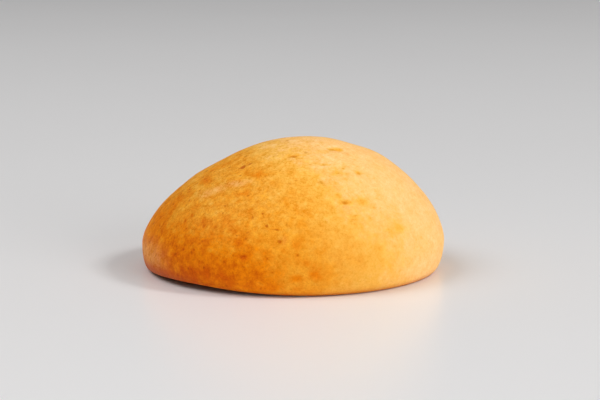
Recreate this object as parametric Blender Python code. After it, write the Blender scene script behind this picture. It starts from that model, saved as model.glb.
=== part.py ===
"""Cassava cheese bread: one smooth, oval, domed roll with a browned flat base.

Units are metres and +Z is up. The origin is the middle of the roll's box, on the plane that the base
rests on. The long low slope faces -X, the fuller end +X, and -Y is the front.

The crust is worked out in three runs from the crown down: a Bezier slope to the belly, which is the
widest line, a quarter of a superellipse that tucks under to the foot, and the flat base. At the left of
the front the foot is lifted a little, so that a thin gap is left under the crust there.
"""
import math
from collections import namedtuple

import bmesh
import bpy
from mathutils import Vector, noise

MM = 0.001

# Driving dimensions.
LENGTH = 84.0 * MM
DEPTH = 76.0 * MM
HEIGHT = 36.2 * MM
BELLY_HEIGHT = {"left": 6.6 * MM, "right": 8.0 * MM, "front": 5.0 * MM}
CROWN_SHIFT = 2.0 * MM

# How full the slope is at the left end, the right end, and the front and back. CROWN_PULL is a share of
# the plan radius and BELLY_PULL of the dome's height: 0.55 for both makes a quarter ellipse.
CROWN_PULL = {"left": 0.43, "right": 0.72, "front": 0.55}
BELLY_PULL = {"left": 0.36, "right": 0.26, "front": 0.50}

# How far the foot, which is the edge of the base, lies inside the belly.
FOOT_INSET = {"left": 1.8 * MM, "right": 2.8 * MM, "front": 2.7 * MM}

# At the left of the front the foot is lifted off the ground and lies deeper in, with a tighter turn.
# GAP_REACH is how far the gap goes in, as a share of the base's radius.
GAP_AZIMUTH = math.radians(-133)
GAP_NARROWNESS = 14
GAP_HEIGHT = 1.5 * MM
GAP_INSET = 1.6 * MM
GAP_TIGHTNESS = 0.5
GAP_REACH = 0.3

# Where the sphere of grid quads is divided between slope, tuck and base, as angles from the crown.
BELLY_ANGLE = math.radians(112)
FOOT_ANGLE = math.radians(134)
GRID_QUADS = 30

# Slow rise and fall of the crust: (wavelength, height) of each layer of lumps.
LUMPS = ((19.0 * MM, 0.28 * MM), (8.0 * MM, 0.10 * MM))
CALM_HEIGHT = 3.0 * MM

# Single swells and dents. azimuth is counted from +X, run from the crown (0) to the belly (1), and
# heading is the long axis in plan. long and wide are half sizes, and a negative height is a dent.
Swell = namedtuple("Swell", "azimuth run heading long wide height")
SWELLS = (
    # rounded rise on the crown, the hollow to its right and the rise past that
    Swell(20, 0.08, 0, 7.0 * MM, 7.0 * MM, 0.25 * MM),
    Swell(22, 0.21, 80, 7.0 * MM, 4.5 * MM, -0.25 * MM),
    Swell(15, 0.34, 80, 8.0 * MM, 4.5 * MM, 0.18 * MM),
    # broad shoulder on the left slope
    Swell(170, 0.50, 90, 8.0 * MM, 4.5 * MM, 0.16 * MM),
    # low fold across the front of the left slope, with its hollow below
    Swell(-135.5, 0.455, -20, 6.0 * MM, 2.0 * MM, 0.20 * MM),
    Swell(-127.3, 0.525, -20, 6.0 * MM, 2.0 * MM, -0.20 * MM),
    # dents on the right of the front
    Swell(-42.8, 0.188, 26, 2.8 * MM, 1.2 * MM, -0.36 * MM),
    Swell(-62.2, 0.374, 0, 2.2 * MM, 1.6 * MM, -0.18 * MM),
    Swell(-66.4, 0.574, 12, 1.8 * MM, 1.2 * MM, -0.30 * MM),
    Swell(-49.2, 0.556, 33, 1.6 * MM, 1.2 * MM, -0.16 * MM),
    # wrinkle in front of the crown
    Swell(-89.5, 0.254, -6, 2.4 * MM, 1.2 * MM, -0.20 * MM),
)

CRUST_COLOUR = (0.72, 0.36, 0.10, 1.0)
CRUST_ROUGHNESS = 0.55


def by_side(sides, azimuth):
    """Value at an azimuth, blended between those of the left end, the right end and the front."""
    turn = math.cos(azimuth)
    ends_mean = (sides["left"] + sides["right"]) / 2
    ends_half_gap = (sides["right"] - sides["left"]) / 2
    return sides["front"] + ends_half_gap * turn + (ends_mean - sides["front"]) * turn ** 2


def belly_outline(azimuth):
    """Point in plan on the widest line, an oval."""
    return Vector((LENGTH / 2 * math.cos(azimuth), DEPTH / 2 * math.sin(azimuth), 0))


def gap_share(azimuth):
    """1 where the gap under the foot is highest, and near 0 away from there."""
    facing = (1 + math.cos(azimuth - GAP_AZIMUTH)) / 2
    return facing ** GAP_NARROWNESS


def foot_outline(azimuth):
    """Point in plan on the edge of the base."""
    inset = by_side(FOOT_INSET, azimuth) + GAP_INSET * gap_share(azimuth)
    belly = belly_outline(azimuth)
    return belly - belly.normalized() * inset


def slope_point(azimuth, run):
    """Point on the slope, at run 0 on the crown and at run 1 on the belly."""
    rest = 1 - run
    reach = 3 * rest ** 2 * run * by_side(CROWN_PULL, azimuth) + 3 * rest * run ** 2 + run ** 3
    rise = rest ** 3 + 3 * rest ** 2 * run + 3 * rest * run ** 2 * by_side(BELLY_PULL, azimuth)
    crown = Vector((CROWN_SHIFT, 0, 0))
    belly_height = by_side(BELLY_HEIGHT, azimuth)
    point = crown.lerp(belly_outline(azimuth), reach)
    point.z = belly_height + (HEIGHT - belly_height) * rise
    return point


def tuck_point(azimuth, run):
    """Point where the crust turns under, at run 0 on the belly and at run 1 on the foot."""
    bend = run * math.pi / 2
    power = 1 - GAP_TIGHTNESS * gap_share(azimuth)
    reach = max(math.cos(bend), 0) ** power
    foot_height = GAP_HEIGHT * gap_share(azimuth)
    point = foot_outline(azimuth).lerp(belly_outline(azimuth), reach)
    point.z = foot_height + (by_side(BELLY_HEIGHT, azimuth) - foot_height) * (1 - math.sin(bend) ** power)
    return point


def base_point(azimuth, run):
    """Point on the base, at run 0 on the foot and at run 1 in its middle. It is flat but for the gap."""
    fade = max(1 - run / GAP_REACH, 0)
    point = foot_outline(azimuth) * (1 - run)
    point.z = GAP_HEIGHT * gap_share(azimuth) * fade ** 2 * (3 - 2 * fade)
    return point


def crust_point(direction):
    """Point of the smooth roll that a direction from the middle of the grid's sphere stands for."""
    azimuth = math.atan2(direction.y, direction.x)
    angle = direction.angle(Vector((0, 0, 1)))
    if angle <= BELLY_ANGLE:
        return slope_point(azimuth, angle / BELLY_ANGLE)
    if angle <= FOOT_ANGLE:
        return tuck_point(azimuth, (angle - BELLY_ANGLE) / (FOOT_ANGLE - BELLY_ANGLE))
    return base_point(azimuth, (angle - FOOT_ANGLE) / (math.pi - FOOT_ANGLE))


def even_direction(corner):
    """Direction of a grid point on the cube's face, turned so that the quads come out alike."""
    return Vector([math.tan(part * math.pi / 4) for part in corner])


def swell_height(swell, place):
    """How far one swell lifts the crust at a place."""
    offset = place - slope_point(math.radians(swell.azimuth), swell.run)
    heading = math.radians(swell.heading)
    lengthwise = offset.dot(Vector((math.cos(heading), math.sin(heading), 0)))
    sideways_squared = max(offset.length_squared - lengthwise ** 2, 0)
    return swell.height * math.exp(-(lengthwise / swell.long) ** 2 - sideways_squared / swell.wide ** 2)


def relief(place):
    """How far the crust stands proud of the smooth roll at a place. It dies away at the flat base."""
    lumps = sum(height * noise.noise(place / wavelength) for wavelength, height in LUMPS)
    swells = sum(swell_height(swell, place) for swell in SWELLS)
    calm = min(max(place.z / CALM_HEIGHT, 0), 1)
    return (lumps + swells) * calm ** 2 * (3 - 2 * calm)


def middle_of_box(places):
    """Middle of the box round some places, in plan."""
    low_x, high_x = min(place.x for place in places), max(place.x for place in places)
    low_y, high_y = min(place.y for place in places), max(place.y for place in places)
    return Vector(((low_x + high_x) / 2, (low_y + high_y) / 2, 0))


def crust_material():
    """Golden baked crust."""
    material = bpy.data.materials.new("golden_crust")
    material.use_nodes = True
    shader = material.node_tree.nodes["Principled BSDF"]
    shader.inputs["Base Color"].default_value = CRUST_COLOUR
    shader.inputs["Roughness"].default_value = CRUST_ROUGHNESS
    shader.inputs["Metallic"].default_value = 0.0
    return material


def make_bread():
    """The roll: a cube's grid of quads, rounded onto the dome and its flat base."""
    shape = bmesh.new()
    bmesh.ops.create_cube(shape, size=2.0)
    bmesh.ops.subdivide_edges(shape, edges=shape.edges[:], cuts=GRID_QUADS - 1, use_grid_fill=True)
    for vert in shape.verts:
        vert.co = crust_point(even_direction(vert.co))
    shape.normal_update()
    for vert in shape.verts:
        vert.co += vert.normal * relief(vert.co)
    shift = -middle_of_box([vert.co for vert in shape.verts])
    bmesh.ops.translate(shape, verts=shape.verts[:], vec=shift)
    mesh = bpy.data.meshes.new("bread")
    shape.to_mesh(mesh)
    shape.free()
    mesh.shade_smooth()
    mesh.materials.append(crust_material())
    bread = bpy.data.objects.new("bread", mesh)
    bpy.context.scene.collection.objects.link(bread)


def main():
    for old in bpy.data.objects[:]:
        bpy.data.objects.remove(old)
    make_bread()


main()
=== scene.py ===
"""Cassava cheese bread: the fine golden crust of one domed roll, on a pale floor in soft light.

It is laid out as an add-on and run as a script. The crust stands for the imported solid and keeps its
form: the same slope, tuck, base, lumps and dents, on a finer grid, with the small wrinkles, pores and
browning that show from close by. Everything is in metres.
"""
import math
import random
from collections import namedtuple

import bmesh
import bpy
from mathutils import Euler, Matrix, Vector, kdtree, noise


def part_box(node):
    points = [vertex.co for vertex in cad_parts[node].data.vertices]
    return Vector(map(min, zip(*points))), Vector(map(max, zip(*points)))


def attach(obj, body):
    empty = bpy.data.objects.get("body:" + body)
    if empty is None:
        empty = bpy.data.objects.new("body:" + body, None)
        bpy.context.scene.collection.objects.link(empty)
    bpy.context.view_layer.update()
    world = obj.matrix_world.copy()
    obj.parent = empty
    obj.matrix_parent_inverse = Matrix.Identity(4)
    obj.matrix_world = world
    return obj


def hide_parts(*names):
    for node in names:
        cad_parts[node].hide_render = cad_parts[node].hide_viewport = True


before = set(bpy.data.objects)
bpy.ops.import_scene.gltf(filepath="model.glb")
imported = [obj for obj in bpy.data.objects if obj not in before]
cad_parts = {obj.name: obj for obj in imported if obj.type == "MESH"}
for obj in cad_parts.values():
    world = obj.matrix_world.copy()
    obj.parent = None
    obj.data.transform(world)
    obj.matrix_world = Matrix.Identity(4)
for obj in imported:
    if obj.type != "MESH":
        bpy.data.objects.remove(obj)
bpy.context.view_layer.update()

bl_info = {
    "name": "Cassava Cheese Bread",
    "version": (1, 0, 0),
    "blender": (4, 5, 0),
    "location": "View3D > Sidebar > Bread",
    "description": "Makes the crust of a cassava cheese bread, and a stage to look at it on",
    "category": "Add Mesh",
}

MM = 0.001
NODE = "bread"
BODY = "root"

# How full the slope is at the left end, the right end, and the front and back.
CROWN_PULL = {"left": 0.43, "right": 0.72, "front": 0.55}
BELLY_PULL = {"left": 0.36, "right": 0.26, "front": 0.50}

# Height of the belly, which is the widest line.
BELLY_HEIGHT = {"left": 6.6 * MM, "right": 8.0 * MM, "front": 5.0 * MM}

# How far the foot, which is the edge of the base, lies inside the belly.
FOOT_INSET = {"left": 1.8 * MM, "right": 2.8 * MM, "front": 2.7 * MM}

# At the left of the front the foot is lifted off the ground and lies deeper in, with a tighter turn.
# GAP_REACH is how far the gap goes in, as a share of the base's radius.
GAP_AZIMUTH = math.radians(-133)
GAP_NARROWNESS = 14
GAP_HEIGHT = 1.5 * MM
GAP_INSET = 1.6 * MM
GAP_TIGHTNESS = 0.5
GAP_REACH = 0.3

# Where the sphere of grid quads is divided between slope, tuck and base, as angles from the crown.
BELLY_ANGLE = math.radians(121)
FOOT_ANGLE = math.radians(140)

# Slow rise and fall of the crust, and the finer unevenness on it: (wavelength, height) of each layer. Both
# fade out below CALM_HEIGHT, and so do the heights of the marks, so that the foot stays on the ground.
LUMPS = ((19.0 * MM, 0.28 * MM), (8.0 * MM, 0.10 * MM))
RIPPLES = ((3.4 * MM, 0.024 * MM), (1.5 * MM, 0.014 * MM))
CALM_HEIGHT = 3.0 * MM
NOISE_TURN = Euler((0.7, 0.4, 1.1)).to_matrix()

# Shallow hollows of the base. They lie where the downward part of the normal is over BASE_FACING, and the
# base's own colour comes in as it goes from the first to the second value of BASE_COLOUR_FACING. That
# colour is a browned underside and also painted shade on the last turn of the crust down to the ground.
BASE_RIPPLES = ((9.0 * MM, 0.22 * MM), (2.6 * MM, 0.10 * MM))
BASE_FACING = 0.99
BASE_COLOUR_FACING = (0.9, 1.0)

# A mark is a swell or dent of the crust, a place where it is browned or pitted, or all of these. azimuth
# is counted from +X in degrees, run from the crown (0) to the belly (1), and heading is the long axis in
# plan. long and wide are half sizes, a negative height is a dent, a negative tone is paler than the crust
# round it, and pit is how much of the dark, crisp look of a pore it has. A mark fades out smoothly, and is
# cut off MARK_REACH half sizes from its middle, where hardly anything is left of it.
MARK_REACH = 2.4
Mark = namedtuple("Mark", "azimuth run heading long wide height tone pit", defaults=(0, 0, 0))
FORM_MARKS = (
    # rounded rise on the crown, the hollow to its right and the rise past that
    Mark(20, 0.08, 0, 7.0 * MM, 7.0 * MM, 0.25 * MM),
    Mark(22, 0.21, 80, 7.0 * MM, 4.5 * MM, -0.25 * MM),
    Mark(15, 0.34, 80, 8.0 * MM, 4.5 * MM, 0.18 * MM),
    # broad shoulder on the left slope
    Mark(170, 0.50, 90, 8.0 * MM, 4.5 * MM, 0.16 * MM),
    # low fold across the front of the left slope, with its hollow below
    Mark(-135.5, 0.455, -20, 6.0 * MM, 2.0 * MM, 0.20 * MM),
    Mark(-127.3, 0.525, -20, 6.0 * MM, 2.0 * MM, -0.20 * MM, 0.12),
)

# Dents with a raised lip below them. A dent's darker tone and pit are painted shade in its hollow, and
# its lip's paleness is a painted highlight. The lip lies LIP_GAP half widths down the slope, which is
# SLOPE_LENGTH long at the front, and its height and paleness are shares of its dent's depth and darkness.
SLOPE_LENGTH = 56.0 * MM
LIP_GAP = 1.7
LIP_HEIGHT = 0.5
LIP_HIGHLIGHT = 0.6
DENTS = (
    # long dent at the front of the crown, roundest at its right
    Mark(-47.8, 0.182, 25, 1.9 * MM, 1.15 * MM, -0.24 * MM, 0.20, 0.75),
    Mark(-40.1, 0.191, 31, 1.3 * MM, 1.60 * MM, -0.20 * MM, 0.34, 0.25),
    # short one in the middle of the right slope, and two beyond it
    Mark(-66.6, 0.575, 12, 1.4 * MM, 0.75 * MM, -0.24 * MM, 0.30, 0.85),
    Mark(-50.0, 0.391, 29, 1.0 * MM, 1.00 * MM, -0.18 * MM, 0.26, 0.65),
    Mark(-49.2, 0.556, 33, 0.8 * MM, 0.70 * MM, -0.10 * MM, 0.12, 0.50),
    # three streaks in front of the crown, one to their right, and a broad shallow dent past that
    Mark(-93.2, 0.255, -10, 1.5 * MM, 0.75 * MM, -0.16 * MM, 0.20, 0.75),
    Mark(-87.5, 0.269, -2, 1.2 * MM, 0.45 * MM, -0.08 * MM, 0.16, 0.60),
    Mark(-88.8, 0.240, -2, 1.3 * MM, 0.40 * MM, -0.06 * MM, 0.14, 0.45),
    Mark(-70.2, 0.318, 8, 1.3 * MM, 0.60 * MM, -0.14 * MM, 0.16, 0.75),
    Mark(-62.2, 0.374, 0, 2.2 * MM, 1.6 * MM, -0.18 * MM, 0.12),
)

# Short creases, nearly level but for one that runs down the slope; their tone and pit are painted shade.
CREASES = (
    Mark(-78.4, 0.628, 2, 1.2 * MM, 0.34 * MM, -0.06 * MM, 0.10, 0.45),
    Mark(-75.9, 0.652, 12, 0.8 * MM, 0.30 * MM, -0.05 * MM, 0.08, 0.40),
    Mark(-63.6, 0.652, 24, 1.1 * MM, 0.34 * MM, -0.06 * MM, 0.10, 0.60),
    Mark(-65.2, 0.673, 14, 1.5 * MM, 0.36 * MM, -0.07 * MM, 0.10, 0.50),
    Mark(-64.9, 0.700, 30, 0.7 * MM, 0.34 * MM, -0.06 * MM, 0.08, 0.55),
    Mark(-43.3, 0.433, 36, 1.1 * MM, 0.35 * MM, -0.05 * MM, 0.06, 0.50),
    Mark(-96.5, 0.727, -10, 1.5 * MM, 0.32 * MM, -0.12 * MM, 0.12, 0.85),
    Mark(-122.2, 0.652, -122, 0.9 * MM, 0.30 * MM, -0.10 * MM, 0.10, 0.90),
    Mark(-108.0, 0.878, -19, 1.2 * MM, 0.38 * MM, -0.10 * MM, 0.15, 0.65),
    Mark(-107.5, 0.936, -19, 0.9 * MM, 0.34 * MM, -0.08 * MM, 0.10, 0.60),
)

# Pores: azimuth, run, half size and how dark they are. They are PORE_STRETCH times as long as wide, and
# a pore of darkness 1 is PORE_DEPTH half sizes deep and browns the crust by PORE_TONE; its darkness is
# partly browning and partly painted shade in its hollow.
Pore = namedtuple("Pore", "azimuth run size dark")
PORE_STRETCH = 1.2
PORE_DEPTH = 0.22
PORE_TONE = 0.15
PORES = (
    # high on the left of the front
    Pore(-133.2, 0.361, 0.98 * MM, 1.00),
    Pore(-129.5, 0.334, 0.70 * MM, 0.80),
    # middle of the front
    Pore(-122.2, 0.601, 0.42 * MM, 0.60),
    Pore(-103.2, 0.642, 0.40 * MM, 0.90),
    Pore(-102.7, 0.658, 0.36 * MM, 0.80),
    Pore(-100.6, 0.708, 0.52 * MM, 1.00),
    Pore(-94.9, 0.792, 0.66 * MM, 1.00),
    Pore(-108.0, 0.783, 0.48 * MM, 0.75),
    Pore(-88.1, 0.864, 0.45 * MM, 0.90),
    Pore(-100.6, 0.931, 0.42 * MM, 0.55),
    # low on the left
    Pore(-141.9, 0.825, 0.52 * MM, 0.75),
    Pore(-152.4, 0.852, 0.50 * MM, 0.65),
    Pore(-123.3, 0.966, 0.50 * MM, 0.65),
    Pore(-134.4, 0.881, 0.44 * MM, 0.75),
    Pore(-129.0, 0.872, 0.42 * MM, 0.65),
    # crown and right of the front, where they are golden, with less painted shade on the lit side
    Pore(-81.0, 0.210, 0.70 * MM, 0.80),
    Pore(-94.8, 0.295, 0.50 * MM, 0.60),
    Pore(-57.7, 0.350, 0.48 * MM, 1.00),
    Pore(-62.9, 0.379, 0.80 * MM, 0.50),
    Pore(-58.2, 0.388, 0.58 * MM, 0.60),
    Pore(-75.8, 0.446, 0.75 * MM, 0.75),
    Pore(-19.2, 0.410, 0.65 * MM, 0.40),
    Pore(-62.8, 0.624, 0.40 * MM, 0.50),
    Pore(-49.5, 0.794, 0.40 * MM, 0.50),
)

# Small pores scattered over the whole crust, with the range that each value is drawn from: the half size in
# millimetres, how many times as long as wide, and how dark. Those at the right are SCATTERED_RIGHT times as
# dark, with less painted shade on the lit side. The run is drawn and raised to a power, which spreads the
# pores nearly evenly over the dome. A pore is SCATTERED_DEPTH half sizes deep, and browns the crust by
# SCATTERED_TONE where its darkness is 1; this darkness is browning and painted shade in the pore.
SCATTERED_SIZE = (0.30, 0.60)
SCATTERED_STRETCH = (1.0, 1.8)
SCATTERED_DARK = (0.3, 0.8)
SCATTERED_RIGHT = 0.6
SCATTERED_RUN = (0.01, 1.1)
SCATTERED_RUN_POWER = 0.6
SCATTERED_DEPTH = 0.12
SCATTERED_TONE = 0.10

# Soft patches that are browner or paler than the crust round them.
PATCHES = (
    # pale skin along the fold
    Mark(-140.3, 0.557, -42, 3.2 * MM, 1.7 * MM, 0, -0.20),
    Mark(-133.3, 0.518, -37, 3.4 * MM, 1.7 * MM, 0, -0.24),
    Mark(-125.3, 0.475, -31, 3.4 * MM, 1.3 * MM, 0, -0.26),
    Mark(-117.6, 0.447, -25, 2.4 * MM, 1.0 * MM, 0, -0.14),
    # deep orange along the top of the left slope and above and below the pale fold
    Mark(-151.3, 0.485, -51, 3.0 * MM, 2.4 * MM, 0, 0.18),
    Mark(-163.4, 0.405, -59, 3.0 * MM, 3.0 * MM, 0, 0.15),
    Mark(-114.2, 0.404, -22, 2.9 * MM, 1.8 * MM, 0, 0.16),
    Mark(-116.9, 0.530, -24, 2.6 * MM, 1.1 * MM, 0, 0.17),
    Mark(-162.8, 0.719, -62, 5.0 * MM, 4.5 * MM, 0, 0.18),
    Mark(-158.0, 0.616, -57, 3.4 * MM, 3.4 * MM, 0, 0.16),
    # low on the left
    Mark(-110.9, 0.809, -21, 2.8 * MM, 1.2 * MM, 0, 0.14),
    Mark(-108.1, 0.888, -19, 2.0 * MM, 1.4 * MM, 0, 0.14),
    # pale ring round the deepest pore, and the painted highlight on the lip under the dent right of the
    # middle
    Mark(-94.0, 0.784, -9, 1.9 * MM, 1.5 * MM, 0, -0.12),
    Mark(-66.0, 0.617, 16, 1.0 * MM, 1.5 * MM, 0.06 * MM, -0.15),
    # right of the front: golden spots on the pale crust
    Mark(-69.0, 0.532, 13, 1.0 * MM, 0.8 * MM, 0, 0.18, 0.35),
    Mark(-58.2, 0.571, 23, 1.3 * MM, 1.0 * MM, 0, 0.22),
    Mark(-84.1, 0.635, 0, 1.2 * MM, 1.0 * MM, 0, 0.10, 0.35),
    Mark(-44.2, 0.749, 40, 1.8 * MM, 0.9 * MM, 0, 0.20),
    Mark(-56.8, 0.860, 27, 1.6 * MM, 1.4 * MM, 0, 0.18),
    Mark(-46.7, 0.756, 37, 4.5 * MM, 4.0 * MM, 0, 0.09),
    # low in the middle: deeper orange
    Mark(-89.1, 0.808, -4, 2.0 * MM, 1.6 * MM, 0, 0.08),
    Mark(-69.4, 0.895, 14, 1.4 * MM, 0.5 * MM, 0, 0.06, 0.45),
    Mark(-82.3, 0.971, 2, 1.2 * MM, 0.9 * MM, 0, 0.20),
    Mark(-88.4, 0.992, -3, 1.7 * MM, 0.8 * MM, 0, 0.26),
    Mark(-78.8, 0.995, 9, 3.0 * MM, 1.6 * MM, 0, 0.10),
    Mark(-76.9, 0.951, 7, 1.1 * MM, 1.8 * MM, 0, 0.12),
    Mark(-84.8, 0.909, 0, 1.2 * MM, 0.9 * MM, 0, 0.12),
)


def by_side(sides, azimuth):
    """Value at an azimuth, blended between those of the left end, the right end and the front."""
    turn = math.cos(azimuth)
    ends_mean = (sides["left"] + sides["right"]) / 2
    ends_half_gap = (sides["right"] - sides["left"]) / 2
    return sides["front"] + ends_half_gap * turn + (ends_mean - sides["front"]) * turn ** 2


def smooth_step(value, low, high):
    """0 below low, 1 above high, and a smooth rise between them."""
    share = min(max((value - low) / (high - low), 0), 1)
    return share ** 2 * (3 - 2 * share)


class RollForm:
    """The smooth roll, worked out from its sizes."""

    def __init__(self, sizes):
        self.length = sizes.length
        self.depth = sizes.depth
        self.height = sizes.height
        self.crown = Vector((sizes.crown_shift, 0, 0))

    def belly_outline(self, azimuth):
        """Point in plan on the widest line, an oval."""
        return Vector((self.length / 2 * math.cos(azimuth), self.depth / 2 * math.sin(azimuth), 0))

    def gap_share(self, azimuth):
        """1 where the gap under the foot is highest, and near 0 away from there."""
        facing = (1 + math.cos(azimuth - GAP_AZIMUTH)) / 2
        return facing ** GAP_NARROWNESS

    def foot_outline(self, azimuth):
        """Point in plan on the edge of the base."""
        inset = by_side(FOOT_INSET, azimuth) + GAP_INSET * self.gap_share(azimuth)
        belly = self.belly_outline(azimuth)
        return belly - belly.normalized() * inset

    def slope_point(self, azimuth, run):
        """Point on the slope, at run 0 on the crown and at run 1 on the belly."""
        rest = 1 - run
        reach = 3 * rest ** 2 * run * by_side(CROWN_PULL, azimuth) + 3 * rest * run ** 2 + run ** 3
        rise = rest ** 3 + 3 * rest ** 2 * run + 3 * rest * run ** 2 * by_side(BELLY_PULL, azimuth)
        point = self.crown.lerp(self.belly_outline(azimuth), reach)
        belly_height = by_side(BELLY_HEIGHT, azimuth)
        point.z = belly_height + (self.height - belly_height) * rise
        return point

    def tuck_point(self, azimuth, run):
        """Point where the crust turns under, at run 0 on the belly and at run 1 on the foot."""
        bend = run * math.pi / 2
        power = 1 - GAP_TIGHTNESS * self.gap_share(azimuth)
        reach = max(math.cos(bend), 0) ** power
        foot_height = GAP_HEIGHT * self.gap_share(azimuth)
        belly_height = by_side(BELLY_HEIGHT, azimuth)
        point = self.foot_outline(azimuth).lerp(self.belly_outline(azimuth), reach)
        point.z = foot_height + (belly_height - foot_height) * (1 - math.sin(bend) ** power)
        return point

    def base_point(self, azimuth, run):
        """Point on the base, flat but for the gap, at run 0 on the foot and at run 1 in its middle."""
        fade = max(1 - run / GAP_REACH, 0)
        point = self.foot_outline(azimuth) * (1 - run)
        point.z = GAP_HEIGHT * self.gap_share(azimuth) * fade ** 2 * (3 - 2 * fade)
        return point

    def crust_point(self, direction):
        """Point of the roll that a direction from the middle of the grid's sphere stands for."""
        azimuth = math.atan2(direction.y, direction.x)
        angle = direction.angle(Vector((0, 0, 1)))
        if angle <= BELLY_ANGLE:
            return self.slope_point(azimuth, angle / BELLY_ANGLE)
        if angle <= FOOT_ANGLE:
            return self.tuck_point(azimuth, (angle - BELLY_ANGLE) / (FOOT_ANGLE - BELLY_ANGLE))
        return self.base_point(azimuth, (angle - FOOT_ANGLE) / (math.pi - FOOT_ANGLE))


def layered_noise(layers, place):
    """Sum of some layers of noise at a place."""
    return sum(height * noise.noise(place / wavelength) for wavelength, height in layers)


def even_direction(corner):
    """Direction of a grid point on the cube's face, turned so that the quads come out alike."""
    return Vector([math.tan(part * math.pi / 4) for part in corner])


def lip_of(dent):
    """The raised lip below a dent, paler as a painted highlight."""
    return dent._replace(
        run=dent.run + LIP_GAP * dent.wide / SLOPE_LENGTH,
        height=-dent.height * LIP_HEIGHT,
        tone=-dent.tone * LIP_HIGHLIGHT,
        pit=0,
    )


def pore_mark(pore):
    """The mark of one pore, which is a little longer down the slope than across it."""
    return Mark(
        azimuth=pore.azimuth,
        run=pore.run,
        heading=pore.azimuth,
        long=pore.size * PORE_STRETCH,
        wide=pore.size,
        height=-PORE_DEPTH * pore.size * pore.dark,
        tone=PORE_TONE * pore.dark,
        pit=pore.dark,
    )


def scattered_marks(count, seed):
    """Small pores all over the crust, at places drawn at random."""
    draw = random.Random(seed)
    marks = []
    for _ in range(count):
        size = draw.uniform(*SCATTERED_SIZE) * MM
        azimuth = draw.uniform(-180, 180)
        leftness = (1 - math.cos(math.radians(azimuth))) / 2
        dark = draw.uniform(*SCATTERED_DARK) * (SCATTERED_RIGHT + (1 - SCATTERED_RIGHT) * leftness)
        marks.append(Mark(
            azimuth=azimuth,
            run=draw.uniform(*SCATTERED_RUN) ** SCATTERED_RUN_POWER,
            heading=draw.uniform(-180, 180),
            long=size * draw.uniform(*SCATTERED_STRETCH),
            wide=size,
            height=-SCATTERED_DEPTH * size,
            tone=SCATTERED_TONE * dark,
            pit=dark,
        ))
    return marks


def all_marks(sizes):
    """Every mark on the crust."""
    lips = [lip_of(dent) for dent in DENTS]
    pores = [pore_mark(pore) for pore in PORES]
    scattered = scattered_marks(sizes.pore_count, sizes.seed)
    return [*FORM_MARKS, *DENTS, *lips, *CREASES, *pores, *PATCHES, *scattered]


def marks_on(shape, form, marks):
    """How far the marks lift each vertex, and how much they brown and pit it."""
    tree = kdtree.KDTree(len(shape.verts))
    for index, vert in enumerate(shape.verts):
        tree.insert(vert.co, index)
    tree.balance()
    heights = [0.0] * len(shape.verts)
    tones = [0.0] * len(shape.verts)
    pits = [0.0] * len(shape.verts)
    for mark in marks:
        middle = form.slope_point(math.radians(mark.azimuth), mark.run)
        heading = math.radians(mark.heading)
        along = Vector((math.cos(heading), math.sin(heading), 0))
        reach = MARK_REACH * max(mark.long, mark.wide)
        for place, index, _ in tree.find_range(middle, reach):
            offset = place - middle
            lengthwise = offset.dot(along)
            sideways_squared = max(offset.length_squared - lengthwise ** 2, 0)
            share = math.exp(-(lengthwise / mark.long) ** 2 - sideways_squared / mark.wide ** 2)
            heights[index] += mark.height * share
            tones[index] += mark.tone * share
            pits[index] = max(pits[index], mark.pit * share)
    return heights, tones, pits


def fit_to_box(shape, low, high):
    """Moves and scales a shape by the last fraction of a millimetre that it differs from a box."""
    places = [vert.co for vert in shape.verts]
    own_low = Vector([min(place[axis] for place in places) for axis in range(3)])
    own_high = Vector([max(place[axis] for place in places) for axis in range(3)])
    stretch = [(high[axis] - low[axis]) / (own_high[axis] - own_low[axis]) for axis in range(3)]
    bmesh.ops.translate(shape, verts=shape.verts[:], vec=-own_low)
    bmesh.ops.scale(shape, verts=shape.verts[:], vec=stretch)
    bmesh.ops.translate(shape, verts=shape.verts[:], vec=low)


def make_crust_mesh(sizes):
    """The crust: a cube's grid of quads, rounded onto the dome and its flat base."""
    form = RollForm(sizes)
    shape = bmesh.new()
    bmesh.ops.create_cube(shape, size=2.0)
    bmesh.ops.subdivide_edges(shape, edges=shape.edges[:], cuts=sizes.grid_quads - 1, use_grid_fill=True)
    for vert in shape.verts:
        vert.co = form.crust_point(even_direction(vert.co))
    heights, tones, pits = marks_on(shape, form, all_marks(sizes))
    shape.normal_update()
    tone_layer = shape.verts.layers.float.new("tone")
    pit_layer = shape.verts.layers.float.new("pit")
    base_layer = shape.verts.layers.float.new("base")
    for vert, mark_height, tone, pit in zip(shape.verts, heights, tones, pits):
        calm = smooth_step(vert.co.z, 0, CALM_HEIGHT)
        turned = NOISE_TURN @ vert.co
        height = layered_noise(LUMPS, vert.co) + layered_noise(RIPPLES, turned) + mark_height
        hollow = abs(layered_noise(BASE_RIPPLES, turned)) if vert.normal.z < -BASE_FACING else 0
        vert[tone_layer] = tone
        vert[pit_layer] = pit
        vert[base_layer] = smooth_step(-vert.normal.z, *BASE_COLOUR_FACING)
        vert.co += vert.normal * (height * calm - hollow)
    fit_to_box(shape, *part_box(NODE))
    for face in shape.faces:
        face.smooth = True
    mesh = bpy.data.meshes.new("crust")
    shape.to_mesh(mesh)
    shape.free()
    return mesh


def feed(tree, socket, value):
    """Gives an input its value, or the socket that feeds it."""
    if isinstance(value, bpy.types.NodeSocket):
        tree.links.new(value, socket)
    else:
        socket.default_value = value


def add_node(tree, kind, inputs=None, **settings):
    """Adds a node, sets it up and feeds its inputs."""
    made = tree.nodes.new(kind)
    for name, value in settings.items():
        setattr(made, name, value)
    for name, value in (inputs or {}).items():
        feed(tree, made.inputs[name], value)
    return made


def maths(tree, operation, *values, clamp=False):
    """Socket with the result of one sum."""
    sockets = dict(enumerate(values))
    return add_node(tree, "ShaderNodeMath", sockets, operation=operation, use_clamp=clamp).outputs[0]


def colour_maths(tree, operation, *values):
    """Socket with the result of one sum, worked out for each part of a colour or vector."""
    return add_node(tree, "ShaderNodeVectorMath", dict(enumerate(values)), operation=operation).outputs[0]


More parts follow.
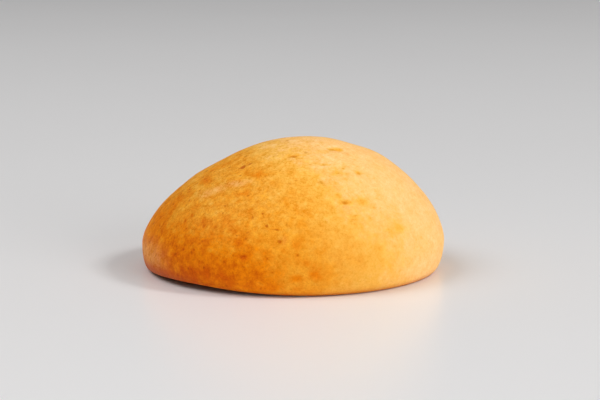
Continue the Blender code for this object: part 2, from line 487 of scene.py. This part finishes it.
def map_range(tree, value, low, high, to_low=0.0, to_high=1.0):
    """Socket that goes smoothly from to_low to to_high as a value goes from low to high."""
    sockets = {"Value": value, "From Min": low, "From Max": high, "To Min": to_low, "To Max": to_high}
    return add_node(tree, "ShaderNodeMapRange", sockets, interpolation_type="SMOOTHSTEP").outputs["Result"]


def mix_colours(tree, share, low, high):
    """Socket with the colour that lies at a share between two colours."""
    sockets = {"Factor": share, "A": low, "B": high}
    made = add_node(tree, "ShaderNodeMix", data_type="RGBA")
    for socket in made.inputs:
        if socket.enabled and socket.name in sockets:
            feed(tree, socket, sockets[socket.name])
    return next(socket for socket in made.outputs if socket.enabled)


def new_group(name, inputs, output):
    """New node group, with the sockets of its inputs and the node that its one output comes from."""
    group = bpy.data.node_groups.new(name, "ShaderNodeTree")
    group.interface.new_socket("Vector", in_out="INPUT", socket_type="NodeSocketVector")
    for socket_name, value in inputs.items():
        socket = group.interface.new_socket(socket_name, in_out="INPUT", socket_type="NodeSocketFloat")
        socket.default_value = value
    group.interface.new_socket(output, in_out="OUTPUT", socket_type="NodeSocketFloat")
    return group, add_node(group, "NodeGroupInput").outputs


def make_mottle_group():
    """Node group: a shade that wanders evenly between about -1 and 1, with patches of one size."""
    inputs = {"Patch Size": 3.0 * MM, "Roughness": 0.5}
    group, given = new_group("mottle", inputs, "Shade")
    scale = maths(group, "DIVIDE", 1.0, given["Patch Size"])
    pattern = add_node(group, "ShaderNodeTexNoise", {
        "Vector": given["Vector"],
        "Scale": scale,
        "Detail": 3.0,
        "Roughness": given["Roughness"],
    }).outputs["Fac"]
    centred = maths(group, "SUBTRACT", pattern, 0.5)
    add_node(group, "NodeGroupOutput", {"Shade": maths(group, "MULTIPLY", centred, 4.0)})
    return group


def mottle(tree, place, patch_size, roughness=0.5):
    """Socket with a mottled shade from about -1 to 1, for one material."""
    group = bpy.data.node_groups.get("mottle") or make_mottle_group()
    sockets = {"Vector": place, "Patch Size": patch_size, "Roughness": roughness}
    made = add_node(tree, "ShaderNodeGroup", node_tree=group)
    for name, value in sockets.items():
        feed(tree, made.inputs[name], value)
    return made.outputs["Shade"]


def attribute(tree, name):
    """Socket with one of the values that the vertices carry."""
    return add_node(tree, "ShaderNodeAttribute", attribute_name=name).outputs["Fac"]


# Where the crust's look changes, each as the place where the change starts and the place where it is
# full. The slant is x plus SLANT_RISE times the height, so it is small all along the left slope, which
# browns from its lower end to near the crown. This deepening on the left and low side is browning and
# also painted shade on the side away from the main light; the lit crown and right stay palest.
SLANT_RISE = 0.9
SHADE_AND_BROWN_SLANT = (50.0 * MM, 13.0 * MM)
SHADE_AND_BROWN_TOP = (40.0 * MM, 29.5 * MM)
SHADE_AND_BROWN_LEFT = (15.0 * MM, -25.0 * MM)
SHADE_AND_BROWN_FOOT = (27.0 * MM, 1.5 * MM)
# painted light: the low right of the crust is made paler, standing for light thrown up on it from the floor
PAINTED_LIGHT_RIGHT = (6.0 * MM, 16.0 * MM)
PAINTED_LIGHT_FOOT = (9.0 * MM, 3.5 * MM)
GRAINY_LEFT = (27.0 * MM, -25.0 * MM)
# pores go from golden to dark towards the left: lit and shaded copies of the painted shade in them
DARK_PORES = (12.0 * MM, -14.0 * MM)
# painted reflection of the pale floor on the low end
REFLECTION_LEFT = (-31.5 * MM, -38.5 * MM)
REFLECTION_TOP = (12.5 * MM, 6.5 * MM)
# painted shade on the dull, reddish foot of the low end, and a painted contact shadow all round the ground
SHADE_RIM_LEFT = (-20.0 * MM, -38.0 * MM)
SHADE_RIM_FOOT = (6.0 * MM, 2.0 * MM)
CONTACT_SHADOW_LINE = (1.8 * MM, 0.2 * MM)

# How strong the painted reflection on the low end, the painted shade on its rim, and the painted contact
# shadow where the crust meets the ground are at most.
REFLECTION_STRENGTH = 0.55
SHADE_RIM_STRENGTH = 0.75
CONTACT_SHADOW_STRENGTH = 0.45

# Sizes of the patches in the browning, and how strong the smaller ones are at the right and at the left.
BROAD_PATCH = 9.0 * MM
MIDDLE_PATCH = 3.0 * MM
SMALL_PATCH = 1.2 * MM
PATCHINESS = (0.5, 1.4)

# Deep orange spots low on the left: their size, and where in the mottling they start and are full.
SPOT = 1.1 * MM
SPOT_EDGE = (0.1, 0.9)

# The tone at which the skin is at its palest.
PALEST_TONE = -0.35

# How ragged a pore's edge is, at what size, and where it starts and is full.
RAGGED_SIZE = 0.5 * MM
RAGGEDNESS = 0.12
PORE_EDGE = (0.25, 0.85)

# Fine grain: blotches with specks on them, and how strong it is at the right and at the left. The specks'
# shade is cut off above SPECK_CUT, so that they darken the crust more than they lighten it.
BLOTCH = 2.8 * MM
BLOTCH_ROUGHNESS = 0.85
BLOTCH_STRENGTH = 0.9
SPECK = 0.6 * MM
SPECK_ROUGHNESS = 0.8
SPECK_CUT = 0.3
SPECK_STRENGTH = 1.2
GRAININESS = (0.6, 1.9)


def browning_and_shade(tree, place, axes):
    """Socket with how browned the crust is, with painted shade on the left and low side, from 0 to 1."""
    slant = maths(tree, "MULTIPLY_ADD", axes["Z"], SLANT_RISE, axes["X"])
    slope = map_range(tree, slant, *SHADE_AND_BROWN_SLANT)
    slope = maths(tree, "MULTIPLY", slope, map_range(tree, axes["Z"], *SHADE_AND_BROWN_TOP))
    # painted shade with the browning: deepest low on the left end, away from the main light
    left = map_range(tree, axes["X"], *SHADE_AND_BROWN_LEFT)
    shaded_low_left = maths(tree, "MULTIPLY", left, map_range(tree, axes["Z"], *SHADE_AND_BROWN_FOOT))
    spots = map_range(tree, mottle(tree, place, SPOT), *SPOT_EDGE)
    spots = maths(tree, "MULTIPLY", spots, shaded_low_left)
    # painted light: paler low on the right
    painted_light_low_right = map_range(tree, axes["X"], *PAINTED_LIGHT_RIGHT)
    painted_light_low_right = maths(tree, "MULTIPLY", painted_light_low_right, map_range(tree, axes["Z"], *PAINTED_LIGHT_FOOT))
    patchiness = map_range(tree, axes["X"], *GRAINY_LEFT, *PATCHINESS)
    total = 0.0
    for share, strength in (
        (slope, 0.44),
        (shaded_low_left, 0.49),
        (spots, 0.11),
        (painted_light_low_right, -0.13),
        (mottle(tree, place, BROAD_PATCH), 0.05),
        (maths(tree, "MULTIPLY", mottle(tree, place, MIDDLE_PATCH), patchiness), 0.10),
        (maths(tree, "MULTIPLY", mottle(tree, place, SMALL_PATCH), patchiness), 0.08),
        (maths(tree, "MAXIMUM", attribute(tree, "tone"), 0.0), 1.0),
    ):
        total = maths(tree, "MULTIPLY_ADD", share, strength, total)
    return maths(tree, "ADD", total, 0.0, clamp=True)


def colour_stops(tree, share, stops):
    """Socket with the colour at a share along a row of (position, colour) stops."""
    ramp = add_node(tree, "ShaderNodeValToRGB", {"Fac": share})
    elements = ramp.color_ramp.elements
    elements.remove(elements[1])
    elements[0].position = stops[0][0]
    elements[0].color = (*stops[0][1], 1)
    for position, colour in stops[1:]:
        elements.new(position).color = (*colour, 1)
    return ramp.outputs["Color"]


def with_pores(tree, place, axes, colour, finish):
    """Socket with a colour and ragged, painted-shade pores: dark on the shaded left, golden on the lit
    right.
    """
    darkness = map_range(tree, axes["X"], *DARK_PORES)
    shade = mix_colours(tree, darkness, (*finish.golden_pore_shade, 1), (*finish.pore_shade, 1))
    edge = mottle(tree, place, RAGGED_SIZE)
    ragged = maths(tree, "MULTIPLY_ADD", edge, RAGGEDNESS, attribute(tree, "pit"))
    # painted shade in the pores
    pitted = colour_maths(tree, "MULTIPLY", colour, shade)
    return mix_colours(tree, map_range(tree, ragged, *PORE_EDGE), colour, pitted)


def with_grain(tree, place, axes, colour, finish):
    """Socket with a colour and fine grain and specks on it, which are strongest on the left."""
    specks = maths(tree, "MINIMUM", mottle(tree, place, SPECK, SPECK_ROUGHNESS), SPECK_CUT)
    specks = maths(tree, "MULTIPLY", specks, SPECK_STRENGTH)
    blotches = mottle(tree, place, BLOTCH, BLOTCH_ROUGHNESS)
    grain = maths(tree, "MULTIPLY_ADD", blotches, BLOTCH_STRENGTH, specks)
    grain = maths(tree, "MULTIPLY", grain, map_range(tree, axes["X"], *GRAINY_LEFT, *GRAININESS))
    factor = colour_maths(tree, "MULTIPLY_ADD", grain, finish.grain_shade, (1.0, 1.0, 1.0))
    return colour_maths(tree, "MULTIPLY", colour, factor)


def with_painted_reflection(tree, axes, colour, finish):
    """Socket with a colour and a painted reflection of the pale floor on it, pale and pinkish on the low
    end.
    """
    # painted reflection of the floor, low on the left end
    share = maths(tree, "MULTIPLY", map_range(tree, axes["X"], *REFLECTION_LEFT), REFLECTION_STRENGTH)
    share = maths(tree, "MULTIPLY", share, map_range(tree, axes["Z"], *REFLECTION_TOP))
    return mix_colours(tree, share, colour, (*finish.milky_and_sheen, 1))


def with_shade_rim(tree, axes, colour, finish):
    """Socket with a colour, with painted shade on the low end's foot and a painted contact shadow at the
    ground.
    """
    # painted shade on the low end's foot, then a painted contact shadow along the ground
    share = map_range(tree, axes["X"], *SHADE_RIM_LEFT)
    share = maths(tree, "MULTIPLY", share, map_range(tree, axes["Z"], *SHADE_RIM_FOOT, 0.0, SHADE_RIM_STRENGTH))
    share = maths(tree, "MAXIMUM", share, map_range(tree, axes["Z"], *CONTACT_SHADOW_LINE, 0.0, CONTACT_SHADOW_STRENGTH))
    return mix_colours(tree, share, colour, (*finish.shade_rim, 1))


def crust_colour(tree, place, finish):
    """Socket with the crust's colour: browning and painted shade, pale skin, painted highlights and
    reflection, pores, grain, painted rim shade and contact shadow, and base.
    """
    axes = add_node(tree, "ShaderNodeSeparateXYZ", {"Vector": place}).outputs
    # the deeper colours of this ramp also stand for painted shade on the left and low side
    colour = colour_stops(tree, browning_and_shade(tree, place, axes), (
        (0.0, finish.pale),
        (0.22, finish.straw),
        (0.50, finish.golden),
        (0.75, finish.orange),
        (1.0, finish.brown),
    ))
    # negative tones bring in the milky colour: pale skin, and painted highlights on the lips of dents
    paleness = map_range(tree, attribute(tree, "tone"), 0.0, PALEST_TONE)
    colour = mix_colours(tree, paleness, colour, (*finish.milky_and_sheen, 1))
    colour = with_painted_reflection(tree, axes, colour, finish)
    colour = with_pores(tree, place, axes, colour, finish)
    colour = with_grain(tree, place, axes, colour, finish)
    colour = with_shade_rim(tree, axes, colour, finish)
    # browned underside, and painted shade where the crust turns under to the ground
    return mix_colours(tree, attribute(tree, "base"), colour, (*finish.base, 1))


# The finest relief: the sizes of its grain and its wrinkles, how many times as long as high the wrinkles
# are, and how much they count beside the grain.
RELIEF_GRAIN = 0.7 * MM
WRINKLE = 1.4 * MM
WRINKLE_FLATNESS = 3.5
WRINKLE_SHARE = 0.5


def fine_relief(tree, place):
    """Socket with the height of the finest grain and of level wrinkles, from 0 to about 1."""
    inputs = {"Vector": place, "Scale": 1 / RELIEF_GRAIN, "Detail": 3.0}
    grain = add_node(tree, "ShaderNodeTexNoise", inputs)
    flattened = colour_maths(tree, "MULTIPLY", place, (1.0, 1.0, WRINKLE_FLATNESS))
    inputs = {"Vector": flattened, "Scale": 1 / WRINKLE, "Detail": 2.0}
    wrinkles = add_node(tree, "ShaderNodeTexNoise", inputs)
    return maths(tree, "MULTIPLY_ADD", wrinkles.outputs["Fac"], WRINKLE_SHARE, grain.outputs["Fac"])


# How far the crust's roughness wanders, and in patches of what size.
DULL_PATCH = 2.2 * MM
DULL_RANGE = 0.05


def crust_material(finish):
    """Golden crust: pale on the crown and the right, deeper on the left, browned underneath; the deeper
    left, low side and underside are partly painted shade.
    """
    material = bpy.data.materials.new("golden_crust")
    material.use_nodes = True
    tree = material.node_tree
    shader = tree.nodes["Principled BSDF"]
    place = add_node(tree, "ShaderNodeTexCoord").outputs["Object"]
    feed(tree, shader.inputs["Base Color"], crust_colour(tree, place, finish))

    dull = maths(tree, "MULTIPLY_ADD", mottle(tree, place, DULL_PATCH), DULL_RANGE, finish.roughness)
    feed(tree, shader.inputs["Roughness"], dull)
    shader.inputs["Specular IOR Level"].default_value = finish.shine
    shader.inputs["Subsurface Weight"].default_value = finish.softness
    shader.inputs["Subsurface Radius"].default_value = (1.0, 0.45, 0.15)
    shader.inputs["Subsurface Scale"].default_value = 1.5 * MM

    relief = {"Height": fine_relief(tree, place), "Strength": 0.6, "Distance": 0.10 * MM}
    feed(tree, shader.inputs["Normal"], add_node(tree, "ShaderNodeBump", relief).outputs["Normal"])
    return material


# The floor's mottling: the size of its patches, and how bright its darkest part is beside its brightest.
FLOOR_PATCH = 0.2
FLOOR_DARKEST = 0.99


def floor_material(colour):
    """Plain pale matte floor with the faintest mottling."""
    material = bpy.data.materials.new("pale_floor")
    material.use_nodes = True
    tree = material.node_tree
    shader = tree.nodes["Principled BSDF"]
    place = add_node(tree, "ShaderNodeTexCoord").outputs["Object"]
    darker = tuple(part * FLOOR_DARKEST for part in colour)
    share = map_range(tree, mottle(tree, place, FLOOR_PATCH), -1.0, 1.0)
    feed(tree, shader.inputs["Base Color"], mix_colours(tree, share, (*colour, 1), (*darker, 1)))
    shader.inputs["Roughness"].default_value = 0.3
    shader.inputs["Specular IOR Level"].default_value = 0.3
    return material


def length_property(name, description, default):
    """Property for a length in metres."""
    return bpy.props.FloatProperty(
        name=name, description=description, default=default,
        min=0.0, precision=4, subtype="DISTANCE", unit="LENGTH")


def power_property(name, description, default):
    """Property for the power of a lamp in watts."""
    return bpy.props.FloatProperty(
        name=name, description=description, default=default,
        min=0.0, unit="POWER")


def colour_property(name, description, default):
    """Property for a colour."""
    return bpy.props.FloatVectorProperty(
        name=name, description=description, default=default,
        min=0.0, max=1.0, size=3, subtype="COLOR")


def share_property(name, description, default, least=0.0, most=1.0):
    """Property for a share, from 0 for none to 1 for all."""
    return bpy.props.FloatProperty(
        name=name, description=description, default=default,
        min=least, max=most, subtype="FACTOR")


class BreadSizes(bpy.types.PropertyGroup):
    """Sizes of the roll and of its crust's detail."""

    length: length_property("Length", "From the low end to the full end", 84.0 * MM)
    depth: length_property("Depth", "From front to back", 76.0 * MM)
    height: length_property("Height", "From the base to the crown", 36.2 * MM)
    crown_shift: length_property("Crown shift", "How far the crown leans to the full end", 2.0 * MM)
    grid_quads: bpy.props.IntProperty(
        name="Grid", description="Quads along each side of the grid", default=125, min=20, max=125)
    pore_count: bpy.props.IntProperty(
        name="Pores", description="How many small pores there are", default=900, min=0, max=1500)
    seed: bpy.props.IntProperty(name="Seed", description="Picks where the pores lie", default=7, min=0)


class BreadFinish(bpy.types.PropertyGroup):
    """Colours and gloss of the crust."""

    # The ramp from Pale to Brown also carries painted shade: its deeper colours fall on the shaded left and
    # low side.
    pale: colour_property("Pale", "Crust where it is baked least", (1.0, 0.568, 0.205))
    straw: colour_property("Straw", "Lightly baked crust", (0.94, 0.470, 0.072))
    golden: colour_property("Golden", "Most of the crust", (0.91, 0.350, 0.021))
    orange: colour_property("Orange", "Deeper baked crust", (0.88, 0.240, 0.002))
    brown: colour_property("Brown", "The most baked crust", (0.70, 0.115, 0.001))
    # the milky colour also paints the highlight on the lips of dents and the floor's reflection on the low
    # end
    milky_and_sheen: colour_property(
        "Milky", "Pale, pinkish skin of the fold, the lips of dents and the low end", (0.95, 0.44, 0.110))
    grain_shade: colour_property(
        "Grain", "How far the grain changes each part of the colour", (0.09, 0.22, 0.60))
    pore_shade: colour_property(
        "Pore shade", "What the crust's colour is multiplied by in pores", (0.66, 0.40, 0.28))
    golden_pore_shade: colour_property(
        "Golden pore shade", "The same on the pale side, where the pores stay golden", (0.80, 0.66, 0.36))
    # this colour paints the shade on the low end's foot and the contact shadow at the ground
    shade_rim: colour_property(
        "Rim", "Dull, reddish foot of the low end and line round the ground", (0.58, 0.090, 0.028))
    # the base colour is a browned underside and also painted shade where the crust turns under
    base: colour_property("Base", "Browned underside", (0.38, 0.115, 0.022))
    roughness: share_property("Roughness", "How dull the crust is", 0.5, least=0.1, most=0.9)
    shine: share_property("Shine", "Strength of the crust's shine", 0.05)
    softness: share_property("Softness", "How much light soaks into the crust", 0.1)


class BreadStage(bpy.types.PropertyGroup):
    """Floor, light and camera."""

    floor_width: length_property("Floor", "Width of the floor", 8.0)
    floor_colour: colour_property("Floor colour", "Colour of the floor", (0.85, 0.84, 0.84))
    main_power: power_property("Main light", "Power of the light high on the right", 31.5)
    left_power: power_property("Left light", "Power of the weak light on the left", 17.0)
    front_power: power_property("Front light", "Power of the soft light at the front, to the right", 20.0)
    sky_light: bpy.props.FloatProperty(
        name="Sky", description="Strength of the even light from above", default=0.34, min=0.0)
    side_light: bpy.props.FloatProperty(
        name="Sides", description="Strength of the even light from the sides", default=0.07, min=0.0)
    camera_distance: length_property("Camera distance", "From the camera to the roll", 0.4636)
    camera_elevation: bpy.props.FloatProperty(
        name="Camera elevation", description="How far the camera looks down", default=math.radians(10.8),
        subtype="ANGLE", unit="ROTATION")
    lens: bpy.props.FloatProperty(
        name="Lens", description="Focal length in millimetres", default=100.0, min=10.0)


class BREAD_OT_crust(bpy.types.Operator):
    """Make the roll's golden crust in place of the plain solid"""

    bl_idname = "bread.crust"
    bl_label = "Make Crust"

    def execute(self, context):
        crust = bpy.data.objects.new("crust", make_crust_mesh(context.scene.bread_sizes))
        context.scene.collection.objects.link(crust)
        crust.data.materials.append(crust_material(context.scene.bread_finish))
        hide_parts(NODE)
        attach(crust, BODY)
        return {"FINISHED"}


def direction_of(azimuth, elevation):
    """Unit vector towards an azimuth, counted from +X, and an elevation."""
    flat = math.cos(elevation)
    return Vector((math.cos(azimuth) * flat, math.sin(azimuth) * flat, math.sin(elevation)))


# Square lamps. azimuth, counted from +X, and elevation are in degrees, distance and size in metres.
Lamp = namedtuple("Lamp", "name azimuth elevation distance size")
MAIN_LAMP = Lamp("main_light", -5, 45, 3.0, 0.6)
LEFT_LAMP = Lamp("left_light", -172, 55, 2.0, 1.2)
FRONT_LAMP = Lamp("front_light", -48, 14, 2.0, 1.2)


def add_lamp(lamp, power, target):
    """Square lamp turned to a target."""
    light = bpy.data.lights.new(lamp.name, "AREA")
    light.energy = power
    light.size = lamp.size
    towards = direction_of(math.radians(lamp.azimuth), math.radians(lamp.elevation))
    holder = bpy.data.objects.new(lamp.name, light)
    holder.location = target + towards * lamp.distance
    holder.rotation_euler = (-towards).to_track_quat("-Z", "Y").to_euler()
    bpy.context.scene.collection.objects.link(holder)


# Height of a direction where the even light starts to be brighter, and where it is brightest.
SKY_EDGE = (0.15, 0.55)


def make_world(sky_light, side_light):
    """Even light from all round, brighter from above than from the sides."""
    world = bpy.data.worlds.new("even_light")
    world.use_nodes = True
    tree = world.node_tree
    towards = add_node(tree, "ShaderNodeTexCoord").outputs["Generated"]
    height = add_node(tree, "ShaderNodeSeparateXYZ", {"Vector": towards}).outputs["Z"]
    strength = map_range(tree, height, *SKY_EDGE, side_light, sky_light)
    feed(tree, tree.nodes["Background"].inputs["Strength"], strength)
    tree.nodes["Background"].inputs["Color"].default_value = (1.0, 1.0, 1.0, 1)
    return world


class BREAD_OT_stage(bpy.types.Operator):
    """Make the pale floor, the soft light and the camera"""

    bl_idname = "bread.stage"
    bl_label = "Make Stage"

    # middle of the roll, the point that the camera looks at, and where the camera stands, counted from +X
    MIDDLE = Vector((0, 0, 18.0 * MM))
    CAMERA_TARGET = Vector((1.93 * MM, 0, 18.73 * MM))
    CAMERA_AZIMUTH = math.radians(-90)

    def execute(self, context):
        stage = context.scene.bread_stage
        self.make_floor(context, stage)
        self.make_light(context, stage)
        self.make_camera(context, stage)
        return {"FINISHED"}

    def make_floor(self, context, stage):
        """Square floor under the roll."""
        shape = bmesh.new()
        bmesh.ops.create_grid(shape, x_segments=1, y_segments=1, size=stage.floor_width / 2)
        mesh = bpy.data.meshes.new("floor")
        shape.to_mesh(mesh)
        shape.free()
        mesh.materials.append(floor_material(tuple(stage.floor_colour)))
        floor = bpy.data.objects.new("floor", mesh)
        context.scene.collection.objects.link(floor)

    def make_light(self, context, stage):
        """Three soft lamps, and even light from all round."""
        add_lamp(MAIN_LAMP, stage.main_power, self.MIDDLE)
        add_lamp(LEFT_LAMP, stage.left_power, self.MIDDLE)
        add_lamp(FRONT_LAMP, stage.front_power, self.MIDDLE)
        context.scene.world = make_world(stage.sky_light, stage.side_light)
        context.scene.view_settings.view_transform = "Standard"

    def make_camera(self, context, stage):
        """Camera in front of the roll, a little above it."""
        lens = bpy.data.cameras.new("camera")
        lens.lens = stage.lens
        back = direction_of(self.CAMERA_AZIMUTH, stage.camera_elevation)
        camera = bpy.data.objects.new("camera", lens)
        camera.location = self.CAMERA_TARGET + back * stage.camera_distance
        camera.rotation_euler = (-back).to_track_quat("-Z", "Y").to_euler()
        context.scene.collection.objects.link(camera)
        context.scene.camera = camera


class BREAD_PT_panel(bpy.types.Panel):
    """Sizes, colours and light of the cassava cheese bread"""

    bl_idname = "BREAD_PT_panel"
    bl_label = "Cassava Cheese Bread"
    bl_space_type = "VIEW_3D"
    bl_region_type = "UI"
    bl_category = "Bread"

    def draw(self, context):
        for group, operator in (
            (context.scene.bread_sizes, None),
            (context.scene.bread_finish, BREAD_OT_crust.bl_idname),
            (context.scene.bread_stage, BREAD_OT_stage.bl_idname),
        ):
            box = self.layout.box()
            for name in group.__annotations__:
                box.prop(group, name)
            if operator:
                box.operator(operator)


CLASSES = (BreadSizes, BreadFinish, BreadStage, BREAD_OT_crust, BREAD_OT_stage, BREAD_PT_panel)


def register():
    for made in CLASSES:
        bpy.utils.register_class(made)
    bpy.types.Scene.bread_sizes = bpy.props.PointerProperty(type=BreadSizes)
    bpy.types.Scene.bread_finish = bpy.props.PointerProperty(type=BreadFinish)
    bpy.types.Scene.bread_stage = bpy.props.PointerProperty(type=BreadStage)


def unregister():
    del bpy.types.Scene.bread_stage
    del bpy.types.Scene.bread_finish
    del bpy.types.Scene.bread_sizes
    for made in reversed(CLASSES):
        bpy.utils.unregister_class(made)


def main():
    register()
    bpy.ops.bread.stage()
    bpy.ops.bread.crust()


if __name__ == "__main__":
    main()
